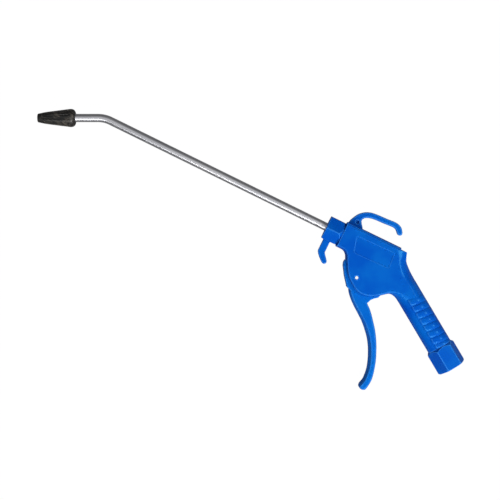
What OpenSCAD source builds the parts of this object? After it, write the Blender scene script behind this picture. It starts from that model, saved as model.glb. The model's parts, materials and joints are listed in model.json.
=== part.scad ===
// Air duster for a compressed-air line: a moulded grip housing, a finger lever, a push valve
// and a bent blow tube with a rubber tip. Lengths are in millimetres and angles in degrees.
// X runs along the barrel towards the grip, Y up towards the hook, and Z across the body, whose
// middle is the plane Z = 0. The gun lies on its side. The origin is the middle of the air inlet's mouth.

/* [Housing] */
// Length of the barrel block, from its front face to the tip of the thumb horn
block_length = 65.5; // [58:0.5:76]
// Height of the barrel block
block_height = 24; // [22:0.5:28]
// Width across the two side faces
body_width = 24; // [23:0.5:30]
// Depth of the cheeks' lowest point below the barrel axis
cheek_drop = 44.6; // [42:0.2:50]
// Depth of the bare panel recessed in each side face
panel_depth = 0.4; // [0.2:0.1:1]

/* [Grip] */
// Angle of the grip below the barrel axis
grip_rake = 33.18; // [28:0.5:38]
// Length of the grip, from the barrel axis to the shoulder under the inlet nut
grip_length = 102.2; // [96:0.5:125]
// Depth of the grip from front to back
grip_depth = 24.7; // [23:0.1:30]
// Width of the grip between its ribs
grip_width = 22.8; // [22:0.1:28]
// Number of ribs down each side
rib_count = 7; // [4:1:9]
// Height of the ribs
rib_height = 0.9; // [0.3:0.1:1.5]

/* [Hooks] */
// Height of the hanging hook's arm above the barrel axis
hook_rise = 33; // [30:0.5:40]
// Thickness of the hanging hook
hook_thickness = 5.6; // [4:0.1:8]
// Diameter of the blind hole in the hook's foot
hook_hole_d = 3.4; // [2:0.1:4]
// Length of the small hook under the front cap
front_hook_length = 20.5; // [14:0.5:24]
// Thickness of the small hook
front_hook_thickness = 4.4; // [3:0.1:6]

/* [Blow tube] */
// Outside diameter of the tube
tube_d = 8; // [6:0.1:9]
// Wall of the tube
tube_wall = 1; // [0.6:0.1:1.5]
// Distance from the housing's front face to the point where the bend turns
tube_reach = 257.5; // [150:1:400]
// Angle of the bend
bend_angle = 26.18; // [15:0.5:45]
// Radius of the bend
bend_radius = 28; // [25:1:60]
// Length of tube past the turning point that stays bare
bare_nose = 28.4; // [22:0.2:40]
// Depth of the tube in the housing
tube_seat = 25.5; // [18:0.5:32]

/* [Rubber tip] */
// Length of the rubber tip
tip_length = 37.2; // [30:0.2:50]
// Widest diameter of the rubber tip
tip_rear_d = 17.6; // [16:0.1:24]
// Diameter of the rubber tip at its nose
tip_nose_d = 8.6; // [8:0.1:13]
// Diameter of the air hole in the nose
tip_hole_d = 4; // [3:0.1:5]
// Number of grooves along the tip
tip_groove_count = 12; // [8:1:16]

/* [Front cap] */
// Width of the front cap across its flats
cap_flats = 23; // [22:0.5:26]
// Length of the front cap
cap_length = 16.1; // [14:0.1:20]
// Diameter of the housing's screwed spigot inside the cap
cap_thread_d = 16; // [15:0.1:18]

/* [Lever] */
// Width of the lever where it runs between the cheeks
lever_web_width = 12.4; // [11:0.1:15]
// Width of the lever under the fingers
lever_finger_width = 15; // [13:0.1:20]
// Length of the lever, from its pin to its lower end
lever_length = 95.5; // [80:0.5:110]
// Travel of the lever when it is squeezed
lever_travel = 10; // [6:0.5:11]
// Diameter of the pivot pin
pin_d = 3; // [2.5:0.1:4]
// Running clearance of the pin in the lever, on the radius
pin_clearance = 0.05; // [0.02:0.01:0.1]
// Gap between the lever and each cheek
lever_side_gap = 0.35; // [0.3:0.05:0.8]

/* [Valve] */
// Diameter of the bore that holds the valve
valve_bore_d = 13; // [12.6:0.1:14]
// Diameter of the valve's stem
stem_d = 3.2; // [2.8:0.1:3.6]
// Clearance of the stem in its guide, on the radius
stem_clearance = 0.05; // [0.02:0.01:0.1]
// Diameter of the hole through the valve seat
seat_hole_d = 5.4; // [5:0.1:6]
// Wire of the valve spring
spring_wire_d = 0.9; // [0.6:0.05:1]
// Mean diameter of the valve spring
spring_d = 6.6; // [6.2:0.1:8]
// Number of turns of the valve spring
spring_turns = 4.5; // [3.5:0.5:4.5]
// Free travel of the lever before it meets the stem
lever_free_play = 0.3; // [0.2:0.05:0.6]

/* [Inlet] */
// Width of the inlet nut across its flats
nut_flats = 26; // [25:0.5:30]
// Length of the inlet nut
nut_length = 23.4; // [21:0.2:28]
// Angle at which the inlet nut was left after tightening
nut_turn = 20; // [0:5:55]
// Diameter of the grip's screwed spigot inside the inlet nut
inlet_spigot_d = 17.2; // [16:0.1:19]
// Core diameter of the inlet's G 1/4 thread
inlet_thread_d = 11.445; // [11.4:0.005:11.9]
// Diameter of the air passage through the grip
grip_bore_d = 8.4; // [6:0.1:9]

/* [Hidden] */
$fn = 64;

moulded_blue = "#1c66cf";
lever_blue = "#1f6bd6";
zinc = "#b9bdc4";
bright_steel = "#cfd6dd";
brass = "#c9a558";
rubber_black = "#1b1a19";

// Small sizes that several pieces share
overrun = 1;
thread_clearance = 0.05;
slip_clearance = 0.05;
face_gap = 0.4;
oring_section = 1.8;
oring_squeeze = 0.05;

half_width = body_width / 2;
block_top = block_height / 2;
grip_half_depth = grip_depth / 2;
slot_half_width = lever_web_width / 2 + lever_side_gap;

// Where the grip's middle line crosses the barrel axis, behind the housing's front face
grip_root_share = 0.7374;
grip_root_x = grip_root_share * block_length;

// Inlet, measured along the grip's middle line
nut_start = grip_length + face_gap;
nut_end = nut_start + nut_length;
inlet_spigot_length = 10.8;
gasket_thickness = 1.3;
inlet_spigot_end = grip_length + inlet_spigot_length;
insert_start = inlet_spigot_end + gasket_thickness;

function grip_xy(along, across) = [
  grip_root_x + along * cos(grip_rake) + across * sin(grip_rake),
  across * cos(grip_rake) - along * sin(grip_rake)
];
inlet_mouth = grip_xy(nut_end, 0);

// Shares of the block's length and, above and below the barrel axis, of its height and the cheek's drop
function block_y(share) = share >= 0 ? share * block_top : share * cheek_drop;
function block_xy(shares) = [shares[0] * block_length, block_y(shares[1])];

// Pivot, valve and lever
pivot_share = [0.4718, -0.7085];
pivot = block_xy(pivot_share);
valve_x_share = 0.878;
valve_x = valve_x_share * block_length;
stem_arm = valve_x - pivot[0];
button_d = 7;
button_dome_r = 5;
slot_roof_share = -0.583;
slot_roof_y = block_y(slot_roof_share);
button_drop = 1.5;
button_bottom_y = pivot[1] - button_drop;
dome_above_pivot = button_bottom_y + button_dome_r - pivot[1];
travel_radians = lever_travel * PI / 180;
// The stem's travel for one radian of the lever keeps the free play alike at both ends of the travel
stem_per_radian = (stem_arm * sin(lever_travel) + dome_above_pivot * (1 - cos(lever_travel)))
  / (travel_radians * cos(lever_travel));
stem_travel = stem_per_radian * travel_radians;
echo(stem_metres_per_radian = stem_per_radian / 1000, stem_travel_mm = stem_travel);
echo(pivot_from_inlet = pivot - inlet_mouth, valve_from_inlet = valve_x - inlet_mouth[0]);

module gun() {
  translate([-inlet_mouth[0], -inlet_mouth[1], 0]) children();
}

// Local X runs down the grip from the barrel axis
module along_grip() {
  translate([grip_root_x, 0, 0]) rotate([0, 0, -grip_rake]) children();
}

// Local X runs out of the bend towards the rubber tip
module along_nose() {
  translate([-tube_reach, 0, 0]) rotate([0, 0, 180 + bend_angle]) children();
}

// Round bar along X between two places
module rod(d, from, to) {
  translate([from, 0, 0]) rotate([0, 90, 0]) cylinder(d = d, h = to - from);
}

// Round bar along Y between two places, on the valve's axis
module valve_rod(d, from, to) {
  translate([valve_x, from, 0]) rotate([-90, 0, 0]) cylinder(d = d, h = to - from);
}

// Ring of round section, lying across local Z
module oring(mean_d, section) {
  rotate_extrude() translate([mean_d / 2, 0]) circle(d = section, $fn = 32);
}

// Bar with six flats, chamfered at both ends, along local X
module hex_bar(flats, from, to, chamfer, turn) {
  corner_d = flats / cos(30);
  softened_d = flats + (corner_d - flats) * 0.88;
  intersection() {
    translate([from, 0, 0]) rotate([turn, 0, 0]) rotate([0, 90, 0])
      cylinder(d = corner_d, h = to - from, $fn = 6);
    translate([from, 0, 0]) rotate([0, 90, 0]) rotate_extrude() polygon([
      [0, 0], [softened_d / 2 - chamfer, 0], [softened_d / 2, chamfer],
      [softened_d / 2, to - from - chamfer], [softened_d / 2 - chamfer, to - from], [0, to - from]
    ]);
  }
}

// Smooth curve through rows of any width, with its ends kept
function blend_row(a, b, c, d, t) = (2 * b + (c - a) * t + (2 * a - 5 * b + 4 * c - d) * pow(t, 2)
  + (3 * b - 3 * c + d - a) * pow(t, 3)) / 2;
function smooth(rows, steps) = let (last = len(rows) - 1) concat(
  [for (i = [0 : last - 1], j = [0 : steps - 1])
    blend_row(rows[max(i - 1, 0)], rows[i], rows[i + 1], rows[min(i + 2, last)], j / steps)],
  [rows[last]]
);

// Triangles of a clockwise outline, cut off one ear at a time. A turn is negative where the outline bends
// clockwise.
function turning(a, b, c) = (b[0] - a[0]) * (c[1] - a[1]) - (b[1] - a[1]) * (c[0] - a[0]);
function holds(a, b, c, p) = turning(a, b, p) <= 0 && turning(b, c, p) <= 0 && turning(c, a, p) <= 0;
function corner(left, k) = let (n = len(left)) [left[(k + n - 1) % n], left[k], left[(k + 1) % n]];
function is_other(i, t) = i != t[0] && i != t[1] && i != t[2];
function is_ear(points, left, t) = let (a = points[t[0]], b = points[t[1]], c = points[t[2]])
  turning(a, b, c) < 0 && len([for (i = left) if (is_other(i, t) && holds(a, b, c, points[i])) i]) == 0;
function first_ear(points, left, k) =
  k == len(left) - 1 || is_ear(points, left, corner(left, k)) ? k : first_ear(points, left, k + 1);
function ears(points, left) = len(left) == 3 ? [left] : let (k = first_ear(points, left, 0))
  concat([corner(left, k)], ears(points, [for (i = [0 : len(left) - 1]) if (i != k) left[i]]));

// Solid of stacked loops with the same number of points, which run clockwise as seen from its far end
module loft(loops, end_triangles) {
  count = len(loops[0]);
  last = len(loops) - 1;
  walls = [for (k = [0 : last - 1], i = [0 : count - 1]) let (j = (i + 1) % count)
    each [
      [k * count + i, k * count + j, (k + 1) * count + j],
      [k * count + i, (k + 1) * count + j, (k + 1) * count + i]
    ]];
  end = is_undef(end_triangles) ? [[for (i = [0 : count - 1]) i]] : end_triangles;
  ends = concat(
    [for (t = end) [for (i = [len(t) - 1 : -1 : 0]) t[i]]],
    [for (t = end) [for (i = t) last * count + i]]
  );
  polyhedron([for (loop = loops) each loop], concat(walls, ends));
}

// Plate between a silhouette and the smaller outline of its flat faces. A row holds the silhouette's
// point, the flat face's point and the depth of the rounding between them.
rounding_sweep = 72;
rounding_steps = 3;
function rounded_loop(rows, half, step, side) = let (
  turn = rounding_sweep * step / rounding_steps,
  inward = (1 - cos(turn)) / (1 - cos(rounding_sweep)),
  rise = sin(turn) / sin(rounding_sweep)
) [for (r = rows) [
  r[0] + (r[2] - r[0]) * inward,
  r[1] + (r[3] - r[1]) * inward,
  side * (half - r[4] + r[4] * rise)
]];
module rounded_plate(rows, half) {
  face = rounded_loop(rows, half, rounding_steps, 1);
  loft(concat(
    [for (step = [rounding_steps : -1 : 0]) rounded_loop(rows, half, step, -1)],
    [for (step = [0 : rounding_steps]) rounded_loop(rows, half, step, 1)]
  ), ears(face, [for (i = [0 : len(face) - 1]) i]));
}

// Rows of a plate whose edge rounding is the same all round an outline that runs clockwise
function unit(v) = v / norm(v);
function inset_point(a, b, c, d) = let (
  before = unit([b[1] - a[1], a[0] - b[0]]),
  after = unit([c[1] - b[1], b[0] - c[0]])
) b + d * (before + after) / (1 + before * after);
function even_rows(points, rounding) = let (n = len(points)) [for (i = [0 : n - 1])
  let (inner = inset_point(points[(i + n - 1) % n], points[i], points[(i + 1) % n], rounding))
  [points[i][0], points[i][1], inner[0], inner[1], rounding]];

// Housing: silhouette, flat side face and rounding depth, as shares of the block, the cheeks and the grip
top_shares = [
  [0, 1, 0.012, 0.95, 0.06], [0.3, 1, 0.3, 0.95, 0.06], [0.84, 1, 0.84, 0.95, 0.07]
];
horn_shares = [
  [0.983, 1, 0.855, 0.88, 0.75], [0.99, 0.85, 0.862, 0.7, 0.75], [1.013, 0.533, 0.885, 0.35, 0.8],
  [1.048, 0.24, 0.92, 0.02, 0.85]
];
back_shares = [
  [0.2325, 1.015, 0.2325, 0.34, 0.9], [0.318, 0.975, 0.318, 0.32, 0.92], [0.44, 0.965, 0.44, 0.31, 0.92],
  [0.49, 0.95, 0.485, 0.31, 0.92]
];
root_grip_shares = [
  [0.49, -0.96, 0.471, 0.016, 0.92], [0.438, -1, 0.4066, -0.3, 0.92], [0.391, -1.017, 0.37, -0.53, 0.8]
];
cheek_shares = [
  [1.079, -0.699, 1.0916, -0.614, 0.6], [1.0095, -0.7146, 1.006, -0.66, 0.4],
  [0.94, -0.788, 0.919, -0.749, 0.24], [0.886, -0.85, 0.862, -0.812, 0.2],
  [0.791, -0.9366, 0.776, -0.896, 0.19], [0.689, -0.981, 0.687, -0.94, 0.19],
  [0.57, -0.973, 0.5786, -0.9325, 0.19], [0.446, -0.871, 0.464, -0.8346, 0.19],
  [0.336, -0.7276, 0.359, -0.699, 0.19], [0.256, -0.54, 0.2825, -0.517, 0.19],
  [0.2103, -0.418, 0.237, -0.396, 0.2], [0.184, -0.3505, 0.2082, -0.318, 0.2],
  [0.124, -0.289, 0.134, -0.238, 0.2], [0, -0.284, 0.012, -0.233, 0.2]
];
outline_steps = 3;
function block_row(r) = concat(block_xy(r), block_xy([r[2], r[3]]), [r[4] * half_width]);
function grip_row(r) = concat(
  grip_xy(r[0] * grip_length, r[1] * grip_half_depth), grip_xy(r[2] * grip_length, r[3] * grip_half_depth),
  [r[4] * half_width]
);
top_rows = [for (r = top_shares) block_row(r)];
back_rows = concat([for (r = horn_shares) block_row(r)], [for (r = back_shares) grip_row(r)]);
front_rows = concat([for (r = root_grip_shares) grip_row(r)], [for (r = cheek_shares) block_row(r)]);
housing_rows = concat(
  smooth(top_rows, outline_steps), smooth(back_rows, outline_steps), smooth(front_rows, outline_steps)
);

// Grip: an oval bar whose sides carry rounded ribs
oval_power = 2.3;
across_shares = [-1, -0.97, -0.88, -0.74, -0.57, -0.41, -0.33, -0.1, 0.15, 0.4, 0.62, 0.8, 0.93, 1];
grip_start_share = 0.34;
rib_zone_shares = [0.461, 0.954];
rib_phase_shares = [-0.5, -0.3, -0.1, 0.1, 0.3];
end_bead_shares = [0.956, 0.966, 0.99, 1];
rib_front_shares = [-0.41, -0.33];
rib_fade_shares = [0.6, 0.97];
rib_pitch = (rib_zone_shares[1] - rib_zone_shares[0]) * grip_length / rib_count;
function ramp(x, low, high) = min(max((x - low) / (high - low), 0), 1);
function oval_share(across) = pow(max(1 - pow(abs(across), oval_power), 0), 1 / oval_power);
function rib_share(across) = ramp(across, rib_front_shares[0], rib_front_shares[1])
  * (1 - ramp(across, rib_fade_shares[0], rib_fade_shares[1]));
function grip_point(along, lift, across, side) =
  let (half = oval_share(across) * grip_width / 2 + lift * rib_share(across))
  [along, across * grip_half_depth, side * half];
across_last = len(across_shares) - 1;
function grip_loop(along, lift) = concat(
  [for (i = [0 : across_last]) grip_point(along, lift, across_shares[i], 1)],
  [for (i = [across_last - 1 : -1 : 1]) grip_point(along, lift, across_shares[i], -1)]
);
rib_zone_start = rib_zone_shares[0] * grip_length;
rib_stations = [for (k = [0 : rib_count - 1], phase = rib_phase_shares)
  [rib_zone_start + (k + 0.5 + phase) * rib_pitch, rib_height * sqrt(1 - pow(2 * phase, 2))]];
end_stations = [for (i = [0 : len(end_bead_shares) - 1])
  [end_bead_shares[i] * grip_length, (i == 1 || i == 2) ? rib_height * 0.7 : 0]];
grip_stations = concat([[grip_start_share * grip_length, 0]], rib_stations, end_stations);

module grip_bar() {
  along_grip() loft([for (s = grip_stations) grip_loop(s[0], s[1])]);
}

// Hanging hook: the fin's foot, the arm and the turned-down end, as shares of the block and the hook's rise
hook_shares = [
  [0.0076, 0.25], [0.0185, 0.4607], [0.0396, 0.5815], [0.0896, 0.7583], [0.1625, 0.8876],
  [0.249, 0.9623], [0.3597, 0.9932], [0.4998, 1.005], [0.6489, 1.0241], [0.7436, 0.9729],
  [0.7941, 0.8666], [0.8096, 0.7855], [0.7925, 0.731], [0.7534, 0.7236], [0.7284, 0.7575],
  [0.709, 0.7976], [0.6823, 0.8393], [0.6317, 0.8597], [0.5006, 0.8399], [0.3508, 0.8245],
  [0.2661, 0.7943], [0.2, 0.725], [0.1781, 0.6298], [0.2057, 0.5293], [0.242, 0.4277], [0.2545, 0.25]
];
hook_rounding_share = 0.2;
hook_steps = 2;
hook_hole_share = [0.131, 0.533];
hook_hole_depth_share = 0.3;
function hook_xy(shares) = [shares[0] * block_length, shares[1] * hook_rise];

module hanging_hook() {
  outline = smooth([for (s = hook_shares) hook_xy(s)], hook_steps);
  rounded_plate(even_rows(outline, hook_rounding_share * hook_thickness), hook_thickness / 2);
}

module hook_hole() {
  hook_hole_depth = hook_hole_depth_share * hook_thickness;
  for (side = [-1, 1]) translate(concat(hook_xy(hook_hole_share), [side * hook_thickness / 2]))
    cylinder(d = hook_hole_d, h = 2 * hook_hole_depth, center = true);
}

// Crowned rail along the top of the block: half of its section, as shares of the half width and of its rise
rail_section_shares = [[0.933, 0.03], [0.667, 0.82], [0.33, 0.97], [0, 1]];
rail_front_rise = 1.6;
rail_rear_rise = 1.9;
rail_end_share = 0.881;
rail_sunk = 2;
function rail_loop(x, rise) = let (
  side = concat(
    [[rail_section_shares[0][0] * half_width, block_top - rail_sunk]],
    [for (s = rail_section_shares) [s[0] * half_width, block_top + s[1] * rise]]
  ),
  last = len(side) - 1
) concat([for (p = side) [x, p[1], p[0]]], [for (i = [last - 1 : -1 : 0]) [x, side[i][1], -side[i][0]]]);
module top_rail() {
  loft([rail_loop(0, rail_front_rise), rail_loop(rail_end_share * block_length, rail_rear_rise)]);
}

// Bare panel on each side face
panel_shares = [
  [0.213, 0.27], [0.23, 0.385], [0.79, 0.462], [0.814, 0.4],
  [0.831, -0.19], [0.812, -0.217], [0.295, -0.239], [0.268, -0.215]
];
module panel_recess() {
  for (side = [-1, 1]) translate([0, 0, side * half_width])
    linear_extrude(2 * panel_depth, center = true) polygon([for (s = panel_shares) block_xy(s)]);
}

// Slot between the cheeks, in which the lever swings
slot_shares = [
  [0.18, -0.447], [0.3, -0.385], [0.64, -0.385], [0.7, -0.583], [0.958, -0.583], [0.958, -1.6], [0.18, -1.6]
];
module lever_slot() {
  linear_extrude(2 * slot_half_width, center = true) polygon([for (s = slot_shares) block_xy(s)]);
}

// Valve, from its seat down to the slot's roof and up to the blind end of its bore
blind_end_share = 0.7;
blind_end_y = blind_end_share * block_top;
bush_clearance = 0.1;
bush_d = valve_bore_d - 2 * bush_clearance;
seat_y_share = -0.085;
seat_y = block_y(seat_y_share);
bush_bottom_share = -0.512;
bush_bottom_y = block_y(bush_bottom_share);
seat_rim_height = 0.6;
seat_rim_wall = 0.7;
seal_thickness = 1.5;
head_thickness = 1.6;
pilot_height = 2.4;
head_overlap = 0.8;
head_d = seat_hole_d + 2 * (seat_rim_wall + head_overlap);
pilot_clearance = 0.3;
pilot_d = spring_d - spring_wire_d - 2 * pilot_clearance;
seal_top_y = seat_y + seal_thickness;
head_top_y = seal_top_y + head_thickness;
bush_top_y = seat_y - seat_rim_height;
bush_collar_height = 2.6;
waist_top_y = bush_top_y - bush_collar_height;
waist_height = 6.4;
waist_bottom_y = waist_top_y - waist_height;
waist_wall = 1.5;
waist_d = seat_hole_d + 2 * waist_wall;
port_d = 5.4;
gland_depth = 0.8;
gland_top_y = waist_bottom_y - gland_depth;
groove_play = 0.1;
bush_groove_height = oring_section + groove_play;
bush_groove_d = bush_d - 2 * (oring_section - 2 * bush_clearance);
upper_groove_y = (bush_top_y + waist_top_y) / 2;
groove_wall = 1;
lower_groove_y = waist_bottom_y - groove_wall - bush_groove_height / 2;
stem_oring_section = 1.5;
stem_groove_d = stem_d + 2 * stem_oring_section;
stem_groove_height = stem_oring_section + 2 * groove_play;
stem_groove_y = bush_bottom_y + groove_wall + stem_groove_height / 2;
retainer_thickness = 1;
retainer_depth = 0.9;
retainer_top_y = bush_bottom_y - slip_clearance;
retainer_bottom_y = retainer_top_y - retainer_thickness;
retainer_reach = 1.3;
retainer_bore_d = valve_bore_d - 2 * retainer_reach;
cross_hole_d = 3;

// Barrel and grip passages
barrel_bore_d = 5;
cap_front_wall = 3.2;
spigot_gap = 0.4;
spigot_length = cap_length - cap_front_wall - spigot_gap;
tube_socket_d = tube_d + 2 * slip_clearance;
seal_pocket_wall = 2.2;
seal_pocket_d = tube_d + 2 * seal_pocket_wall;
seal_pocket_depth = 6.2;

module housing_bores() {
  rod(tube_socket_d, -spigot_length - overrun, tube_seat - spigot_length);
  rod(barrel_bore_d, 0, valve_x);
  rod(seal_pocket_d, -spigot_length - overrun, -spigot_length + seal_pocket_depth);
  valve_rod(valve_bore_d, slot_roof_y - overrun, blind_end_y);
  retainer_groove_d = valve_bore_d + 2 * retainer_depth;
  valve_rod(retainer_groove_d, retainer_bottom_y - slip_clearance, retainer_top_y + slip_clearance);
  along_grip() rod(port_d, 0, inlet_spigot_end);
  along_grip() rod(grip_bore_d, grip_start_share * grip_length, inlet_spigot_end + overrun);
  translate(concat(pivot, [-half_width - overrun])) cylinder(d = pin_d, h = body_width + 2 * overrun);
}

module body_housing() {
  color(moulded_blue) gun() difference() {
    union() {
      rounded_plate(housing_rows, half_width);
      grip_bar();
      hanging_hook();
      top_rail();
      rod(cap_thread_d, -spigot_length, overrun);
      along_grip() rod(inlet_spigot_d, grip_length - overrun, inlet_spigot_end);
    }
    lever_slot();
    panel_recess();
    hook_hole();
    housing_bores();
  }
}

// Front cap with the small hook
cap_chamfer = 1;
cap_front_x = -face_gap - cap_length;
front_hook_shares = [
  [0.1, 0.14], [0.1, -0.439], [0.112, -0.639], [0.244, -0.844], [0.444, -1.049], [0.544, -1.068],
  [0.608, -0.995], [0.6, -0.893], [0.524, -0.776], [0.392, -0.571], [0.384, -0.439], [0.38, 0.14]
];
front_hook_spread = 25;
front_hook_rounding_share = 0.2;
front_hook_foot_y = -cap_flats / 2;

module front_hook() {
  points = [for (s = front_hook_shares)
    [cap_front_x + s[0] * front_hook_spread, front_hook_foot_y + s[1] * front_hook_length]];
  outline = smooth([for (i = [len(points) - 1 : -1 : 0]) points[i]], hook_steps);
  rows = even_rows(outline, front_hook_rounding_share * front_hook_thickness);
  rounded_plate(rows, front_hook_thickness / 2);
}

module front_cap() {
  color(moulded_blue) gun() difference() {
    union() {
      hex_bar(cap_flats, cap_front_x, -face_gap, cap_chamfer, 0);
      front_hook();
    }
    rod(tube_d + 4 * slip_clearance, cap_front_x - overrun, -face_gap);
    rod(cap_thread_d + 2 * thread_clearance, cap_front_x + cap_front_wall, overrun);
  }
}

ferrule_front_x = cap_front_x + cap_front_wall + slip_clearance;
ferrule_length = 4;
module tube_ferrule() {
  color(brass) gun() difference() {
    rod(seal_pocket_d - 4 * slip_clearance, ferrule_front_x, ferrule_front_x + ferrule_length);
    rod(tube_d + 2 * slip_clearance, ferrule_front_x - overrun, ferrule_front_x + ferrule_length + overrun);
  }
}

module tube_oring() {
  seal_x = ferrule_front_x + ferrule_length + oring_section / 2 + slip_clearance;
  color(rubber_black) gun() translate([seal_x, 0, 0])
    rotate([0, 90, 0]) oring(tube_d + oring_section + 2 * oring_squeeze, oring_section);
}

// Blow tube: straight run, bend and bare nose, drilled through. The bend is a touch fuller than the
// straight lengths, which end inside it.
tube_rear_x = tube_seat - spigot_length - slip_clearance;
bend_tangent = bend_radius * tan(bend_angle / 2);
bend_lap = 0.4;
bend_swell = 0.03;
nose_into_tip = 17;
module tube_run(d) {
  rod(d, -tube_reach + bend_tangent - bend_lap, tube_rear_x);
  along_nose() rod(d, bend_tangent - bend_lap, bare_nose + nose_into_tip);
  translate([-tube_reach + bend_tangent, -bend_radius, 0]) rotate([0, 0, 90])
    rotate_extrude(angle = bend_angle) translate([bend_radius, 0]) circle(d = d + 2 * bend_swell);
}

module nozzle_tube() {
  color(zinc) gun() difference() {
    tube_run(tube_d);
    tube_run(tube_d - 2 * tube_wall);
    rod(tube_d - 2 * tube_wall, 0, tube_rear_x + overrun);
    along_nose() rod(tube_d - 2 * tube_wall, bare_nose, bare_nose + nose_into_tip + overrun);
  }
}

// Rubber tip: its profile from the rear face to the nose, as shares of its length and its two radii
tip_profile_shares = [
  [0, 0.66], [0.018, 0.81], [0.045, 0.915], [0.07, 0.97], [0.11, 1], [0.17, 0.985], [0.42, 0.853],
  [0.74, 0.68], [0.9, 0.555]
];
tip_groove_row = 5;
tip_nose_rounding = 1.2;
tip_groove_d = 1.6;
tip_socket_depth = nose_into_tip + slip_clearance;
module rubber_tip() {
  tip_rear_r = tip_rear_d / 2;
  tip_nose_r = tip_nose_d / 2;
  profile = concat(
    [[0, 0]],
    [for (s = tip_profile_shares) [s[1] * tip_rear_r, s[0] * tip_length]],
    [[tip_nose_r, tip_length - tip_nose_rounding]],
    [[tip_nose_r - tip_nose_rounding / 2, tip_length - tip_nose_rounding / 4]],
    [[tip_nose_r - tip_nose_rounding, tip_length], [0, tip_length]]
  );
  groove_start = tip_profile_shares[tip_groove_row];
  groove_end = tip_profile_shares[tip_groove_row + 1];
  groove_fall = (groove_start[1] - groove_end[1]) * tip_rear_r;
  groove_lean = atan(groove_fall / ((groove_end[0] - groove_start[0]) * tip_length));
  color(rubber_black) gun() along_nose() translate([bare_nose, 0, 0]) difference() {
    rotate([0, 90, 0]) rotate_extrude() polygon(profile);
    rod(tube_d, -overrun, tip_socket_depth);
    rod(tip_hole_d, 0, tip_length + overrun);
    for (i = [0 : tip_groove_count - 1]) rotate([i * 360 / tip_groove_count, 0, 0])
      translate([groove_start[0] * tip_length, 0, tip_rear_r]) rotate([0, groove_lean, 0])
        rod(tip_groove_d, 0, tip_length);
  }
}

// Lever: front and back edges from the pin down, as shares of its length from the pin
front_edge_shares = [
  [-0.0368, -0.0965], [-0.0043, -0.1594], [0.048, -0.2166], [0.1102, -0.2692], [0.1785, -0.3187],
  [0.2504, -0.3731], [0.315, -0.4351], [0.3714, -0.4991], [0.418, -0.5681], [0.4562, -0.6415],
  [0.4875, -0.7163], [0.5105, -0.7948], [0.5195, -0.8794], [0.5165, -0.909], [0.5084, -0.9382],
  [0.5047, -0.9613], [0.511, -0.979], [0.5236, -0.9916]
];
back_edge_shares = [
  [0.17, -0.12], [0.2, -0.15], [0.223, -0.19], [0.257, -0.2173], [0.3027, -0.2632], [0.3507, -0.3211],
  [0.4028, -0.3856], [0.4485, -0.4541], [0.4891, -0.5254], [0.5235, -0.5986], [0.5545, -0.6731],
  [0.5789, -0.7524], [0.5965, -0.8308], [0.601, -0.894], [0.589, -0.9738], [0.5749, -0.9916],
  [0.557, -0.999], [0.5403, -0.999]
];
lever_section_shares = [
  [0, 0.42], [0.05, 0.72], [0.16, 0.93], [0.32, 1], [0.86, 1], [0.96, 0.93], [1, 0.78]
];
lever_end_shares = [1, 0.93, 0.8, 0.55];
finger_width_row = 6;
lever_arm_step = 0.15;
function lever_end_share(i) =
  let (k = i - len(front_edge_shares) + len(lever_end_shares)) k < 0 ? 1 : lever_end_shares[k];
function lever_xy(shares) = pivot + shares * lever_length;
function lever_loop(i) = let (
  front = lever_xy(front_edge_shares[i]),
  back = lever_xy(back_edge_shares[i]),
  arm_width = lever_web_width - 2 * lever_arm_step,
  width = arm_width + (lever_finger_width - arm_width) * ramp(i, 0, finger_width_row),
  half = width / 2 * lever_end_share(i),
  n = len(lever_section_shares)
) [for (k = [0 : 2 * n - 1]) let (
  s = lever_section_shares[k < n ? k : 2 * n - 1 - k],
  p = front + (back - front) * s[0]
) [p[0], p[1], (k < n ? 1 : -1) * half * s[1]]];

// Part of the lever between the cheeks: front tab, boss round the pin and the arm under the stem
head_shares = [
  [-0.183, 0.1165], [-0.155, 0.124], [-0.12, 0.1], [-0.06, 0.08], [0.03, 0.075], [0.09, 0.03],
  [0.13, -0.012]
];
head_back_shares = [
  [0.304, -0.05], [0.293, -0.084], [0.257, -0.114], [0.231, -0.143], [0.222, -0.176], [0.15, -0.172],
  [0.035, -0.15], [-0.043, -0.124], [-0.0647, -0.0958], [-0.1129, -0.0363], [-0.1454, 0.0142],
  [-0.1719, 0.0541], [-0.1832, 0.0852]
];
stem_pad_y = button_bottom_y - lever_free_play;
module lever_head() {
  linear_extrude(lever_web_width, center = true) polygon(concat(
    [for (s = head_shares) lever_xy(s)],
    [[valve_x - button_d / 2 - 1, stem_pad_y], [lever_xy(head_back_shares[0])[0], stem_pad_y]],
    [for (s = head_back_shares) lever_xy(s)]
  ));
}

module trigger_lever() {
  color(lever_blue) gun() difference() {
    union() {
      loft([for (i = [0 : len(front_edge_shares) - 1]) lever_loop(i)]);
      lever_head();
    }
    translate(concat(pivot, [-lever_web_width]))
      cylinder(d = pin_d + 2 * pin_clearance, h = 2 * lever_web_width);
  }
}

module pivot_pin() {
  color(bright_steel) gun() translate(concat(pivot, [-half_width])) cylinder(d = pin_d, h = body_width);
}

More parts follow.
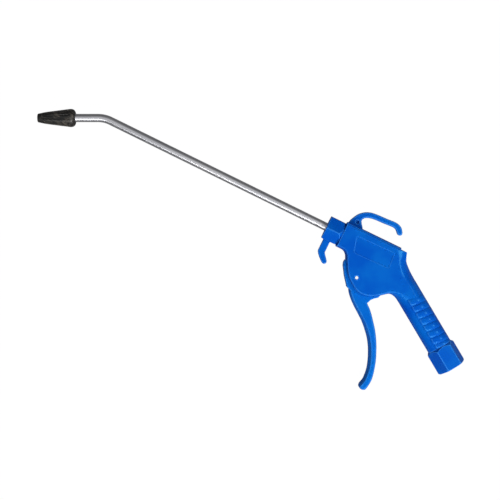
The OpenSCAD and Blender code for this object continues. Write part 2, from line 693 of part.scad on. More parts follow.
// Brass bush: seat rim on top, waist with cross holes opposite the grip's passage, gland for the stem
stem_groove_bottom_y = stem_groove_y - stem_groove_height / 2;
module valve_bush() {
  color(brass) gun() difference() {
    union() {
      valve_rod(bush_d, waist_top_y, bush_top_y);
      valve_rod(waist_d, waist_bottom_y, waist_top_y);
      valve_rod(bush_d, bush_bottom_y, waist_bottom_y);
      valve_rod(seat_hole_d + 2 * seat_rim_wall, bush_top_y, seat_y);
    }
    valve_rod(seat_hole_d, gland_top_y, seat_y + overrun);
    valve_rod(stem_d + 2 * stem_clearance, bush_bottom_y - overrun, gland_top_y + overrun);
    valve_rod(stem_groove_d, stem_groove_bottom_y, stem_groove_bottom_y + stem_groove_height);
    for (groove_y = [upper_groove_y, lower_groove_y]) difference() {
      valve_rod(bush_d + overrun, groove_y - bush_groove_height / 2, groove_y + bush_groove_height / 2);
      valve_rod(bush_groove_d, groove_y - bush_groove_height, groove_y + bush_groove_height);
    }
    translate([valve_x, waist_top_y - waist_height / 2, 0]) {
      rod(cross_hole_d, -bush_d, bush_d);
      cylinder(d = cross_hole_d, h = 2 * bush_d, center = true);
    }
  }
}

module bush_oring(groove_y) {
  translate([valve_x, groove_y, 0]) rotate([90, 0, 0])
    oring((valve_bore_d + bush_groove_d) / 2, (valve_bore_d - bush_groove_d) / 2 - 2 * oring_squeeze);
}

module bush_upper_oring() {
  color(rubber_black) gun() bush_oring(upper_groove_y);
}

module bush_lower_oring() {
  color(rubber_black) gun() bush_oring(lower_groove_y);
}

module stem_oring() {
  color(rubber_black) gun() translate([valve_x, stem_groove_y, 0]) rotate([90, 0, 0])
    oring(stem_d + stem_oring_section + oring_squeeze, stem_oring_section - 2 * oring_squeeze);
}

// Retaining ring in its groove below the bush, open on one side
retainer_opening = 5;
module bush_retaining_ring() {
  color(bright_steel) gun() difference() {
    valve_rod(valve_bore_d + 2 * retainer_depth - 4 * slip_clearance, retainer_bottom_y, retainer_top_y);
    valve_rod(retainer_bore_d, retainer_bottom_y - overrun, retainer_top_y + overrun);
    translate([valve_x - valve_bore_d, retainer_bottom_y - overrun, -retainer_opening / 2])
      cube([valve_bore_d, retainer_thickness + 2 * overrun, retainer_opening]);
  }
}

// Stem with its head and the spring's pilot; the button is pressed on its lower end
button_height = 4.3;
button_end_wall = 1.5;
stem_bottom_y = button_bottom_y + button_end_wall;
module valve_stem() {
  color(brass) gun() {
    valve_rod(stem_d, stem_bottom_y, seal_top_y + head_thickness / 2);
    valve_rod(head_d, seal_top_y, head_top_y);
    valve_rod(pilot_d, head_top_y - head_thickness / 2, head_top_y + pilot_height);
  }
}

module poppet_seal() {
  color(rubber_black) gun() difference() {
    valve_rod(head_d, seat_y, seal_top_y);
    valve_rod(stem_d, seat_y - overrun, seal_top_y + overrun);
  }
}

module stem_button() {
  color(rubber_black) gun() difference() {
    intersection() {
      valve_rod(button_d, button_bottom_y - overrun, button_bottom_y + button_height);
      translate([valve_x, button_bottom_y + button_dome_r, 0]) sphere(r = button_dome_r);
    }
    valve_rod(stem_d, stem_bottom_y, button_bottom_y + button_height + overrun);
  }
}

// Valve spring, wound round the valve's axis from the stem's head to the blind end
spring_sides = 6;
spring_rings = 12;
spring_bottom_y = head_top_y + spring_wire_d / 2 + 2 * slip_clearance;
spring_top_y = blind_end_y - spring_wire_d / 2 - 2 * slip_clearance;
spring_pitch = (spring_top_y - spring_bottom_y) / spring_turns;
echo(spring_gap_mm = spring_pitch - spring_wire_d, spring_closed_mm = spring_turns * spring_wire_d,
  spring_room_mm = blind_end_y - head_top_y - stem_travel);
function spring_ring(turn) = [for (i = [0 : spring_sides - 1]) let (
  around = -360 * i / spring_sides,
  reach = spring_d / 2 + spring_wire_d / 2 * cos(around)
) [
  valve_x + reach * cos(360 * turn),
  spring_bottom_y + spring_pitch * turn + spring_wire_d / 2 * sin(around),
  reach * sin(360 * turn)
]];
module valve_spring() {
  color(bright_steel) gun()
    loft([for (i = [0 : spring_turns * spring_rings]) spring_ring(i / spring_rings)]);
}

// Inlet: blue nut, its brass threaded insert and the sealing washer
insert_d = inlet_spigot_d;
module inlet_nut() {
  color(moulded_blue) gun() along_grip() difference() {
    hex_bar(nut_flats, nut_start, nut_end, cap_chamfer, nut_turn);
    rod(inlet_spigot_d + 2 * thread_clearance, nut_start - overrun, nut_end + overrun);
  }
}

module inlet_insert() {
  color(brass) gun() along_grip() difference() {
    rod(insert_d, insert_start, nut_end);
    rod(inlet_thread_d, insert_start - overrun, nut_end + overrun);
  }
}

module inlet_gasket() {
  color(rubber_black) gun() along_grip() difference() {
    rod(inlet_spigot_d - 4 * slip_clearance, inlet_spigot_end, insert_start);
    rod(grip_bore_d, inlet_spigot_end - overrun, insert_start + overrun);
  }
}

body_housing();
front_cap();
tube_ferrule();
tube_oring();
nozzle_tube();
rubber_tip();
trigger_lever();
pivot_pin();
valve_bush();
bush_upper_oring();
bush_lower_oring();
stem_oring();
bush_retaining_ring();
valve_stem();
poppet_seal();
stem_button();
valve_spring();
inlet_nut();
inlet_insert();
inlet_gasket();
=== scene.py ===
"""Air duster with a blue moulded housing, a bent steel blow tube and a rubber tip, lying on its side on a
pale floor. Sizes and places are in millimetres in the gun's own frame: X along the barrel towards the grip,
Y up towards the hook, Z across the body, with the origin on the housing's front face. at_scale() takes them
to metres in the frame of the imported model."""
import json
from math import atan2, cos, hypot, pi, radians, sin, sqrt, tan

import bmesh
import bpy
import numpy
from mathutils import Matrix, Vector


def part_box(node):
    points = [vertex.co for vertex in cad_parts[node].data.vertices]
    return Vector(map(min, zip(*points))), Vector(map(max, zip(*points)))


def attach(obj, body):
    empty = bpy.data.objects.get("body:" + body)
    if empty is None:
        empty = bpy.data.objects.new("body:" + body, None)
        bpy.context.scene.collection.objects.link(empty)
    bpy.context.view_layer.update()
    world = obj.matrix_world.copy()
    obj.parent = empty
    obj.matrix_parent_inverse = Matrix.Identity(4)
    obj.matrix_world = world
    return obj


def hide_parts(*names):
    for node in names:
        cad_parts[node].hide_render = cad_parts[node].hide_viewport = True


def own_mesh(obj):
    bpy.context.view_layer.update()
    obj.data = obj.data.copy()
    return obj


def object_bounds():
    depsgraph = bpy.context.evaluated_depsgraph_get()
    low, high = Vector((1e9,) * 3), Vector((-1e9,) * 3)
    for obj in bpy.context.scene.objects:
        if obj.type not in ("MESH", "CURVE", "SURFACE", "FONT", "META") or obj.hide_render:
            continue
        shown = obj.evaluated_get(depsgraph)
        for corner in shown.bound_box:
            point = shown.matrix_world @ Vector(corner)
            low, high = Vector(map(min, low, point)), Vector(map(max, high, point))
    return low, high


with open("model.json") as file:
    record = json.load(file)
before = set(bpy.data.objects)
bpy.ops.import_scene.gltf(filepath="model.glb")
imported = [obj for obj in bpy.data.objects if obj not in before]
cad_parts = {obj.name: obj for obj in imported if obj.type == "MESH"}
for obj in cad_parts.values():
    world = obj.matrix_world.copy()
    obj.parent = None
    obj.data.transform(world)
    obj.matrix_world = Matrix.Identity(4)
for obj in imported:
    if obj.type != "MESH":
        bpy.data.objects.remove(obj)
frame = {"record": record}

CAD_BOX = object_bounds()
MM = 0.001
EDGE_MARK = "edge"

# Housing
BLOCK_LENGTH = 65.5
BLOCK_TOP = 12.0
CHEEK_DROP = 44.6
HALF_WIDTH = 12.0
GRIP_ROOT_SHARE = 0.7374
GRIP_ROOT_X = GRIP_ROOT_SHARE * BLOCK_LENGTH
GRIP_RAKE = radians(33.18)
GRIP_LENGTH = 102.2
GRIP_HALF_DEPTH = 12.35
GRIP_HALF_WIDTH = 11.4
RIB_COUNT = 7
RIB_HEIGHT = 1.1
HOOK_RISE = 33.0
HOOK_THICKNESS = 5.6

# Blow tube and tip
TUBE_D = 8.0
TUBE_WALL = 1.0
TUBE_SEAT_X = 12.95
TUBE_IN_TIP = 17
TUBE_REACH = 257.5
BEND_ANGLE = radians(26.18)
BARE_NOSE = 28.4
BEND_RADIUS = 28
TIP_LENGTH = 37.2
TIP_REAR_R = 8.8
TIP_HOLE_R = 2

# Nut, cap and lever
FACE_GAP = 0.4
NUT_LENGTH = 23.4
NUT_START = GRIP_LENGTH + FACE_GAP
NUT_END = NUT_START + NUT_LENGTH
NUT_FLATS = 26
CAP_FRONT_X = -16.5
CAP_BACK_X = 0.4
CAP_FLATS = 23
LEVER_LENGTH = 95.45
PIVOT_SHARES = (0.4718, -0.7085)
PIVOT = (PIVOT_SHARES[0] * BLOCK_LENGTH, PIVOT_SHARES[1] * CHEEK_DROP)
VALVE_SHARE = 0.878
VALVE_X = VALVE_SHARE * BLOCK_LENGTH

# Sides of a turned piece
FINE_SIDES = 180

INLET_MOUTH = (GRIP_ROOT_X + NUT_END * cos(GRIP_RAKE), -NUT_END * sin(GRIP_RAKE))


def at_scale(point):
    """A point of the gun's frame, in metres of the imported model's frame."""
    return ((point[0] - INLET_MOUTH[0]) * MM, (point[1] - INLET_MOUTH[1]) * MM, point[2] * MM)


def grip_xy(along, across):
    """A place on the grip: along its middle line from the barrel axis, and across it towards the back."""
    return (
        GRIP_ROOT_X + along * cos(GRIP_RAKE) + across * sin(GRIP_RAKE),
        across * cos(GRIP_RAKE) - along * sin(GRIP_RAKE),
    )


def block_xy(x_share, y_share):
    """A place on the barrel block: shares of its length and of its height above, or the cheeks' drop below."""
    return (x_share * BLOCK_LENGTH, y_share * (BLOCK_TOP if y_share >= 0 else CHEEK_DROP))


def lever_xy(x_share, y_share):
    """A place on the lever, as shares of its length from the pivot."""
    return (PIVOT[0] + x_share * LEVER_LENGTH, PIVOT[1] + y_share * LEVER_LENGTH)


# Curves and meshes


def smooth(rows, steps):
    """A Catmull-Rom curve through rows of any width, with its ends kept."""
    curve = []
    last = len(rows) - 1
    for i in range(last):
        a, b, c, d = rows[max(i - 1, 0)], rows[i], rows[i + 1], rows[min(i + 2, last)]
        for step in range(steps):
            t = step / steps
            curve.append(tuple(
                (2 * q + (r - p) * t + (2 * p - 5 * q + 4 * r - s) * t**2 + (3 * q - 3 * r + s - p) * t**3) / 2
                for p, q, r, s in zip(a, b, c, d)
            ))
    return curve + [tuple(rows[last])]


def mesh_piece(name, points, faces):
    """A mesh object from points in the gun's frame."""
    mesh = bpy.data.meshes.new(name)
    mesh.from_pydata([at_scale(p) for p in points], [], faces)
    mesh.update()
    piece = bpy.data.objects.new(name, mesh)
    bpy.context.scene.collection.objects.link(piece)
    face_outwards(piece)
    return piece


def face_outwards(piece):
    work = bmesh.new()
    work.from_mesh(piece.data)
    bmesh.ops.recalc_face_normals(work, faces=work.faces)
    work.to_mesh(piece.data)
    work.free()


def stacked(name, loops, closed_round=False):
    """A skin through loops of the same length; its ends are faced, unless the last loop joins the first."""
    count = len(loops[0])
    rings = len(loops)
    faces = []
    for k in range(rings if closed_round else rings - 1):
        here, there = k * count, (k + 1) % rings * count
        faces += [(here + i, here + (i + 1) % count, there + (i + 1) % count, there + i) for i in range(count)]
    if not closed_round:
        faces += [tuple(reversed(range(count))), tuple((rings - 1) * count + i for i in range(count))]
    return mesh_piece(name, [p for loop in loops for p in loop], faces)


def shade_smooth(piece, crease_degrees=None):
    for face in piece.data.polygons:
        face.use_smooth = True
    if crease_degrees is not None:
        work = bmesh.new()
        work.from_mesh(piece.data)
        for edge in work.edges:
            edge.smooth = len(edge.link_faces) == 2 and edge.calc_face_angle() < radians(crease_degrees)
        work.to_mesh(piece.data)
        work.free()


def settle_modifiers(piece):
    """Turn the modified shape into the piece's own mesh."""
    bpy.context.view_layer.update()
    shaped = bpy.data.meshes.new_from_object(piece.evaluated_get(bpy.context.evaluated_depsgraph_get()))
    old = piece.data
    piece.modifiers.clear()
    piece.data = shaped
    bpy.data.meshes.remove(old)


def combine(piece, others, operation):
    for other in others:
        step = piece.modifiers.new(operation.lower(), "BOOLEAN")
        step.operation = operation
        step.solver = "EXACT"
        step.object = other
    settle_modifiers(piece)
    for other in others:
        bpy.data.objects.remove(other)


def neighbour_mean(edges, count, values):
    """Mean of each vertex's neighbours, for one value or one point to a vertex."""
    total = numpy.zeros_like(values)
    numpy.add.at(total, edges[:, 0], values[edges[:, 1]])
    numpy.add.at(total, edges[:, 1], values[edges[:, 0]])
    shared = numpy.maximum(numpy.bincount(edges.ravel(), minlength=count), 1)
    return (total.T / shared).T


def mark_edges(piece, spread=2):
    """Write how convex (or concave, below 0) the piece is at each vertex, for the painted highlight on ridges and the
    painted shade in grooves of its material.
    """
    mesh = piece.data
    count = len(mesh.vertices)
    edges = numpy.empty(len(mesh.edges) * 2, dtype=numpy.int64)
    points, normals = numpy.empty(count * 3), numpy.empty(count * 3)
    mesh.edges.foreach_get("vertices", edges)
    mesh.vertices.foreach_get("co", points)
    mesh.vertices.foreach_get("normal", normals)
    edges, points, normals = edges.reshape(-1, 2), points.reshape(-1, 3), normals.reshape(-1, 3)
    lengths = numpy.linalg.norm(points[edges[:, 0]] - points[edges[:, 1]], axis=1).mean()
    bend = ((points - neighbour_mean(edges, count, points)) * normals).sum(axis=1) / lengths
    for _ in range(spread):
        bend = (bend + neighbour_mean(edges, count, bend)) / 2
    held = mesh.attributes.new(EDGE_MARK, "FLOAT", "POINT")
    held.data.foreach_set("value", bend)


def moulded(piece, voxel, passes):
    """Melt a piece's sharp inner corners and edges together, as a moulding has them."""
    remesh = piece.modifiers.new("remesh", "REMESH")
    remesh.mode = "VOXEL"
    remesh.voxel_size = voxel * MM
    remesh.adaptivity = 0
    soften = piece.modifiers.new("soften", "SMOOTH")
    soften.factor = 0.5
    soften.iterations = passes
    settle_modifiers(piece)
    shade_smooth(piece)


# Solids


# Edge of a moulded plate, from the silhouette to the flat face: shares of the rounding's width and of its depth
ROUND_EDGE = [
    (0, 0), (0.03, 0.14), (0.08, 0.27), (0.16, 0.42), (0.27, 0.58), (0.4, 0.72), (0.55, 0.84), (0.7, 0.915),
    (0.85, 0.968), (0.94, 0.991), (1, 1),
]
CREASED_EDGE = [
    (0, 0), (0.06, 0.22), (0.14, 0.42), (0.24, 0.6), (0.34, 0.74), (0.43, 0.84), (0.5, 0.9), (0.56, 0.94), (0.66, 0.97),
    (0.8, 0.988), (1, 1),
]
CREASED_DEPTHS = (3.4, 6.5)


def rounded_plate(name, rows, half):
    """A plate between a silhouette and the outline of its flat faces. A row holds the silhouette's point, the
    flat face's point and the depth of the rounding between them. Shallow edges have a crease, deep ones are round."""
    def ring(step, side):
        loop = []
        for x, y, face_x, face_y, depth in rows:
            crease = 1 - ramp(depth, *CREASED_DEPTHS)
            inward, rise = (r + (c - r) * crease for r, c in zip(ROUND_EDGE[step], CREASED_EDGE[step]))
            loop.append((x + (face_x - x) * inward, y + (face_y - y) * inward, side * (half - depth + depth * rise)))
        return loop

    steps = range(len(ROUND_EDGE))
    return stacked(name, [ring(step, -1) for step in reversed(steps)] + [ring(step, 1) for step in steps])


def even_rows(points, rounding):
    """Rows of a plate whose edge rounding is the same all round a clockwise outline."""
    rows = []
    count = len(points)
    for i, b in enumerate(points):
        a, c = points[i - 1], points[(i + 1) % count]
        before = Vector((b[1] - a[1], a[0] - b[0])).normalized()
        after = Vector((c[1] - b[1], b[0] - c[0])).normalized()
        inner = Vector(b) + rounding * (before + after) / (1 + before.dot(after))
        rows.append((b[0], b[1], inner.x, inner.y, rounding))
    return rows


def flat_bar(name, outline, half):
    """An outline in the plane of the gun, extruded across it."""
    return stacked(name, [[(x, y, -half) for x, y in outline], [(x, y, half) for x, y in outline]])


def along(root, heading, profile, sides=64, shape=None):
    """A turned piece: profile rows hold the distance along the heading from the root, and the radius.
    shape(angle, distance, radius) may change the radius round the piece."""
    axis = Vector((cos(heading), sin(heading), 0))
    up = Vector((-sin(heading), cos(heading), 0))
    loops = []
    for distance, radius in profile:
        centre = Vector((root[0], root[1], 0)) + axis * distance
        ring = []
        for i in range(sides):
            angle = 2 * pi * i / sides
            r = shape(angle, distance, radius) if shape else radius
            ring.append(tuple(centre + up * (r * cos(angle)) + Vector((0, 0, r * sin(angle)))))
        loops.append(ring)
    return loops


def rod(name, root, heading, start, end, diameter, sides=64):
    return stacked(name, along(root, heading, [(start, diameter / 2), (end, diameter / 2)], sides))


def ramp(x, low, high):
    return min(max((x - low) / (high - low), 0.0), 1.0)


def ease(t):
    return t * t * (3 - 2 * t)


# Housing

TOP_SHARES = [
    (0, 1, 0.008, 0.8, 0.17), (0.3, 1, 0.3, 0.79, 0.18), (0.84, 1, 0.84, 0.79, 0.18),
]
HORN_SHARES = [
    (0.983, 1, 0.855, 0.88, 0.15), (0.99, 0.85, 0.862, 0.7, 0.15), (1.013, 0.533, 0.885, 0.35, 0.2),
    (1.048, 0.24, 0.92, 0.02, 0.42),
]
BACK_SHARES = [
    (0.2325, 1.015, 0.2325, 0.34, 0.7), (0.31, 1.0, 0.318, 0.32, 0.9),
    (0.44, 0.975, 0.44, 0.31, 0.92), (0.49, 0.95, 0.485, 0.31, 0.92),
]
ROOT_GRIP_SHARES = [
    (0.49, -0.96, 0.471, 0.016, 0.92), (0.438, -1, 0.4066, -0.3, 0.92), (0.391, -1.017, 0.37, -0.53, 0.8),
]
CHEEK_SHARES = [
    (1.079, -0.699, 1.0916, -0.614, 0.6), (1.0095, -0.7146, 1.006, -0.66, 0.4),
    (0.94, -0.788, 0.919, -0.749, 0.24), (0.886, -0.85, 0.862, -0.812, 0.2),
    (0.791, -0.9366, 0.776, -0.896, 0.19), (0.689, -0.981, 0.687, -0.94, 0.19),
    (0.57, -0.973, 0.5786, -0.9325, 0.19), (0.446, -0.871, 0.464, -0.8346, 0.19),
    (0.336, -0.7276, 0.359, -0.699, 0.19), (0.256, -0.54, 0.2825, -0.517, 0.19),
    (0.2103, -0.418, 0.237, -0.396, 0.2), (0.184, -0.3505, 0.2082, -0.318, 0.2),
    (0.124, -0.289, 0.134, -0.238, 0.2), (0, -0.284, 0.012, -0.233, 0.2),
]


def block_row(r):
    return (*block_xy(r[0], r[1]), *block_xy(r[2], r[3]), r[4] * HALF_WIDTH)


def grip_row(r):
    return (
        *grip_xy(r[0] * GRIP_LENGTH, r[1] * GRIP_HALF_DEPTH), *grip_xy(r[2] * GRIP_LENGTH, r[3] * GRIP_HALF_DEPTH),
        r[4] * HALF_WIDTH,
    )


def housing_plate(steps=8):
    rows = smooth([block_row(r) for r in TOP_SHARES], steps)
    rows += smooth([block_row(r) for r in HORN_SHARES] + [grip_row(r) for r in BACK_SHARES], steps)
    rows += smooth([grip_row(r) for r in ROOT_GRIP_SHARES] + [block_row(r) for r in CHEEK_SHARES], steps)
    return rounded_plate("housing", rows, HALF_WIDTH)


OVAL_POWER = 2.3
GRIP_START_SHARE = 0.34
RIB_ZONE_SHARES = (0.461, 0.954)
RIB_PITCH = (RIB_ZONE_SHARES[1] - RIB_ZONE_SHARES[0]) * GRIP_LENGTH / RIB_COUNT


RIB_TILT = 0.15
RIB_POWER = 2.4
RIB_ROUNDNESS = 0.6
LAST_RIB_SHARE = 0.7
RIB_END_PLAY = 0.2
# How far round the grip the ribs reach: shares of its half depth, from the front (-1) to the back (1)
RIB_FRONT = -0.34
RIB_FRONT_SWELL = 0.08
RIB_FRONT_FADE = (-0.05, 0.08)
RIB_BACK_FADE = (0.9, 1.0)


def rib_lift(along_grip, across):
    """Height of the ribs: round-backed ribs that meet in sharp grooves and lean a little off square."""
    start, end = (share * GRIP_LENGTH for share in RIB_ZONE_SHARES)
    leaned = along_grip - RIB_TILT * across * GRIP_HALF_DEPTH
    if leaned < start or along_grip > GRIP_LENGTH - RIB_END_PLAY:
        return 0.0
    if leaned > end:
        phase = min((leaned - end) / (GRIP_LENGTH - end), 1) - 0.5
        return LAST_RIB_SHARE * RIB_HEIGHT * sqrt(max(1 - 4 * phase * phase, 0))
    phase = (leaned - start) / RIB_PITCH % 1 - 0.5
    return RIB_HEIGHT * (1 - (2 * abs(phase)) ** RIB_POWER) ** RIB_ROUNDNESS


def grip_bar(stations=320, round_steps=48):
    loops = []
    start = GRIP_START_SHARE * GRIP_LENGTH
    for k in range(stations + 1):
        place = start + (GRIP_LENGTH - start) * k / stations
        loop = []
        for i in range(2 * round_steps):
            angle = pi * i / round_steps
            across, side = -cos(angle), 1 if i <= round_steps else -1
            oval = max(1 - abs(across) ** OVAL_POWER, 0) ** (1 / OVAL_POWER)
            lift = rib_lift(place, across)
            bulge = lift / RIB_HEIGHT
            front = RIB_FRONT - RIB_FRONT_SWELL * bulge
            window = ease(ramp(across, front + RIB_FRONT_FADE[0], front + RIB_FRONT_FADE[1]))
            window *= 1 - ease(ramp(across, *RIB_BACK_FADE))
            x, y = grip_xy(place, across * GRIP_HALF_DEPTH)
            loop.append((x, y, side * (oval * GRIP_HALF_WIDTH + lift * window)))
        loops.append(loop)
    return stacked("grip", loops)


HOOK_SHARES = [
    (0.0076, 0.25), (0.0185, 0.4607), (0.0396, 0.5815), (0.0896, 0.7583), (0.1625, 0.8876),
    (0.249, 0.9623), (0.3597, 0.9932), (0.4998, 1.005), (0.6489, 1.0241), (0.7436, 0.9729),
    (0.7941, 0.8666), (0.8096, 0.7855), (0.7925, 0.731), (0.7534, 0.7236), (0.7284, 0.7575),
    (0.709, 0.7976), (0.6823, 0.8393), (0.6317, 0.8597), (0.5006, 0.8399), (0.3508, 0.8245),
    (0.2661, 0.7943), (0.2, 0.725), (0.1781, 0.6298), (0.2057, 0.5293), (0.242, 0.4277), (0.2545, 0.25),
]
HOOK_ROUNDING_SHARE = 0.25
HOOK_HOLE_SHARES = (0.131, 0.533)
HOOK_HOLE_RADIUS = 1.7
# Share of the hook's thickness that is left between the middle and a blind hole
HOOK_WALL_SHARE = 0.04


def hanging_hook():
    outline = smooth([(x * BLOCK_LENGTH, y * HOOK_RISE) for x, y in HOOK_SHARES], 4)
    return rounded_plate("hook", even_rows(outline, HOOK_ROUNDING_SHARE * HOOK_THICKNESS), HOOK_THICKNESS / 2)


def hook_hole(side):
    centre_x, centre_y = HOOK_HOLE_SHARES[0] * BLOCK_LENGTH, HOOK_HOLE_SHARES[1] * HOOK_RISE
    turns = [a * pi / 16 for a in range(32)]
    ring = [(centre_x + HOOK_HOLE_RADIUS * cos(a), centre_y + HOOK_HOLE_RADIUS * sin(a)) for a in turns]
    low, high = sorted((side * HOOK_WALL_SHARE * HOOK_THICKNESS, side * HOOK_THICKNESS))
    return stacked("hook_hole", [[(x, y, low) for x, y in ring], [(x, y, high) for x, y in ring]])


RAIL_SECTION_SHARES = [(0.933, -1.2), (0.933, 0.03), (0.9, 0.16), (0.667, 0.82), (0.5, 0.93), (0.33, 0.97), (0, 1)]
RAIL_END_SHARE = 0.881
RAIL_FRONT_RISE = 1.6
RAIL_BACK_RISE = 1.9


def top_rail():
    """A crowned rail that rises a little towards the back."""
    def section(x, rise):
        half = [(x, BLOCK_TOP + height * rise, across * HALF_WIDTH) for across, height in RAIL_SECTION_SHARES]
        return half + [(x, y, -z) for _, y, z in reversed(half[:-1])]

    return stacked("rail", [section(0, RAIL_FRONT_RISE), section(RAIL_END_SHARE * BLOCK_LENGTH, RAIL_BACK_RISE)])


SLOT_SHARES = [
    (0.18, -0.447), (0.3, -0.385), (0.64, -0.385), (0.7, -0.583), (0.958, -0.583), (0.958, -1.6), (0.18, -1.6),
]
SLOT_HALF_WIDTH = 6.55
PANEL_CORNERS = [(13.8, 4.5), (53.2, 5.6), (54.5, -9.7), (17.8, -10.7)]
PANEL_ROUNDING = 1.4
PANEL_DEPTH = 0.28
PANEL_STEP = 0.5
PIN_DIMPLE_RADIUS = 1.9
PIN_DIMPLE_DEPTH = 0.45
PIN_DIMPLE_STEP = 0.4
# How far below the widest point a vertex still counts as being on a side face
SIDE_FACE_BAND = 0.6
HORN_CREASE = ((53.6, 11.3), (67.3, -8.6))
HORN_LEAN = radians(12)
HORN_SOFTNESS = 0.5
HORN_FADE = (-2, 14)
# Where the web at the grip's root is: shares along the grip, and across it from the front (-1) to the back (1)
WEB_ALONG = ((0.3, 0.37), (0.47, 0.52))
WEB_ACROSS = ((-0.97, -0.85), (-0.45, -0.3))


def horn_drop(x, y):
    """How far the band behind the horn's crease leans away from the side face."""
    (x0, y0), (x1, y1) = HORN_CREASE
    length = hypot(x1 - x0, y1 - y0)
    along_crease = ((x - x0) * (x1 - x0) + (y - y0) * (y1 - y0)) / length
    beyond = (-(x - x0) * (y1 - y0) + (y - y0) * (x1 - x0)) / length
    bent = (beyond + hypot(beyond, HORN_SOFTNESS)) / 2
    fade = ease(ramp(along_crease, length + HORN_FADE[0], length + HORN_FADE[1]))
    return bent * tan(HORN_LEAN) * (1 - fade)


def inside_panel(x, y):
    """Distance inside the panel's outline, whose corners are rounded."""
    away = []
    for (x0, y0), (x1, y1) in zip(PANEL_CORNERS, PANEL_CORNERS[1:] + PANEL_CORNERS[:1]):
        length = hypot(x1 - x0, y1 - y0)
        away.append(((x1 - x0) * (y - y0) - (y1 - y0) * (x - x0)) / length + PANEL_ROUNDING)
    outer = sorted(max(a, 0) for a in away)[-2:]
    return PANEL_ROUNDING - hypot(*outer)


def mark_sides(piece):
    """The bare panel on each side face, a shallow field with a soft step round it, and a dimple at each pin end."""
    for vertex in piece.data.vertices:
        if abs(vertex.co.z) < (HALF_WIDTH - SIDE_FACE_BAND) * MM:
            continue
        x = vertex.co.x / MM + INLET_MOUTH[0]
        y = vertex.co.y / MM + INLET_MOUTH[1]
        from_pin = hypot(x - PIVOT[0], y - PIVOT[1])
        depth = PANEL_DEPTH * ease(ramp(inside_panel(x, y), -PANEL_STEP, PANEL_STEP))
        rim = ease(ramp(from_pin, PIN_DIMPLE_RADIUS - PIN_DIMPLE_STEP, PIN_DIMPLE_RADIUS + PIN_DIMPLE_STEP))
        depth += PIN_DIMPLE_DEPTH * (1 - rim)
        vertex.co.z -= depth * MM * (1 if vertex.co.z > 0 else -1)


def lean_horn(piece):
    """Give the horn and the grip's shoulder their leaning back faces."""
    for vertex in piece.data.vertices:
        x = vertex.co.x / MM + INLET_MOUTH[0]
        y = vertex.co.y / MM + INLET_MOUTH[1]
        vertex.co.z *= 1 - horn_drop(x, y) / HALF_WIDTH


def soften_where(piece, weigh, passes):
    """Smooth a part of a piece further; weigh() gives the share for a place in the gun's plane."""
    group = piece.vertex_groups.new(name="soft")
    for vertex in piece.data.vertices:
        share = weigh(vertex.co.x / MM + INLET_MOUTH[0], vertex.co.y / MM + INLET_MOUTH[1])
        if share > 0:
            group.add([vertex.index], share, "REPLACE")
    soften = piece.modifiers.new("soften", "SMOOTH")
    soften.factor = 0.5
    soften.iterations = passes
    soften.vertex_group = group.name
    settle_modifiers(piece)
    piece.vertex_groups.clear()
    shade_smooth(piece)


def grip_root_share(x, y):
    """1 in the web between the cheek and the grip's front, falling to 0 round it."""
    along_grip = (x - GRIP_ROOT_X) * cos(GRIP_RAKE) - y * sin(GRIP_RAKE)
    across = ((x - GRIP_ROOT_X) * sin(GRIP_RAKE) + y * cos(GRIP_RAKE)) / GRIP_HALF_DEPTH
    share = along_grip / GRIP_LENGTH
    inside = ramp(share, *WEB_ALONG[0]) * (1 - ramp(share, *WEB_ALONG[1]))
    return inside * ramp(across, *WEB_ACROSS[0]) * (1 - ramp(across, *WEB_ACROSS[1]))


CAP_THREAD_D = 16
CAP_THREAD_END = -12.5
INLET_SPIGOT_D = 17.2
INLET_SPIGOT_LENGTH = 10.8
TUBE_PLAY = 0.1
TUBE_SOCKET_END = 13
SEAL_POCKET_PLAY = 4.4
SEAL_POCKET_END = -6.3
VALVE_BORE_D = 13
VALVE_BORE = (-27, 8.4)
AIR_WAY_D = 8.4
AIR_WAY = (35, 115)
OVERRUN = 1
MOULD_VOXEL = 0.36


def build_housing():
    housing = housing_plate()
    combine(housing, [
        grip_bar(), hanging_hook(), top_rail(),
        rod("spigot", (0, 0), 0, CAP_THREAD_END, OVERRUN, CAP_THREAD_D),
        rod("inlet_spigot", (GRIP_ROOT_X, 0), -GRIP_RAKE, GRIP_LENGTH - OVERRUN, GRIP_LENGTH + INLET_SPIGOT_LENGTH,
            INLET_SPIGOT_D),
    ], "UNION")
    slot = flat_bar("slot", [block_xy(x, y) for x, y in SLOT_SHARES], SLOT_HALF_WIDTH)
    combine(housing, [
        slot, hook_hole(1), hook_hole(-1),
        rod("tube_socket", (0, 0), 0, CAP_THREAD_END - OVERRUN, TUBE_SOCKET_END, TUBE_D + TUBE_PLAY),
        rod("seal_pocket", (0, 0), 0, CAP_THREAD_END - OVERRUN, SEAL_POCKET_END, TUBE_D + SEAL_POCKET_PLAY),
        rod("valve_bore", (VALVE_X, 0), pi / 2, *VALVE_BORE, VALVE_BORE_D),
        rod("air_way", (GRIP_ROOT_X, 0), -GRIP_RAKE, *AIR_WAY, AIR_WAY_D),
    ], "DIFFERENCE")
    moulded(housing, MOULD_VOXEL, passes=2)
    soften_where(housing, grip_root_share, passes=12)
    mark_sides(housing)
    lean_horn(housing)
    return housing


# Hexagon pieces

# Share of the sharp corner that is left where a hexagon is turned round
TURNED_SHARE = 0.985
CHAMFER_STEPS = 8
FLAT_STEPS = 6
# How far the nut reaches over the grip's end, so that no slit shows between them
NUT_LAP = 0.5
NUT_BORE_R = 8.65
NUT_MOUTH_R = 9.0
NUT_MOUTH_DEPTH = 0.4
CAP_WALL_X = -13.3
CAP_HOLE_R = 4.2
CAP_BORE_R = 8.05
FINE_VOXEL = 0.3

def hexagon_radius(angle, flats, softness):
    """Radius of a hexagon with rounded corners: a soft maximum over its flats."""
    sector = (angle + pi / 6) % (pi / 3) - pi / 6
    sharp = flats / 2 / cos(sector)
    return min(sharp, flats / 2 * (1 + softness * (1 / cos(pi / 6) - 1)))


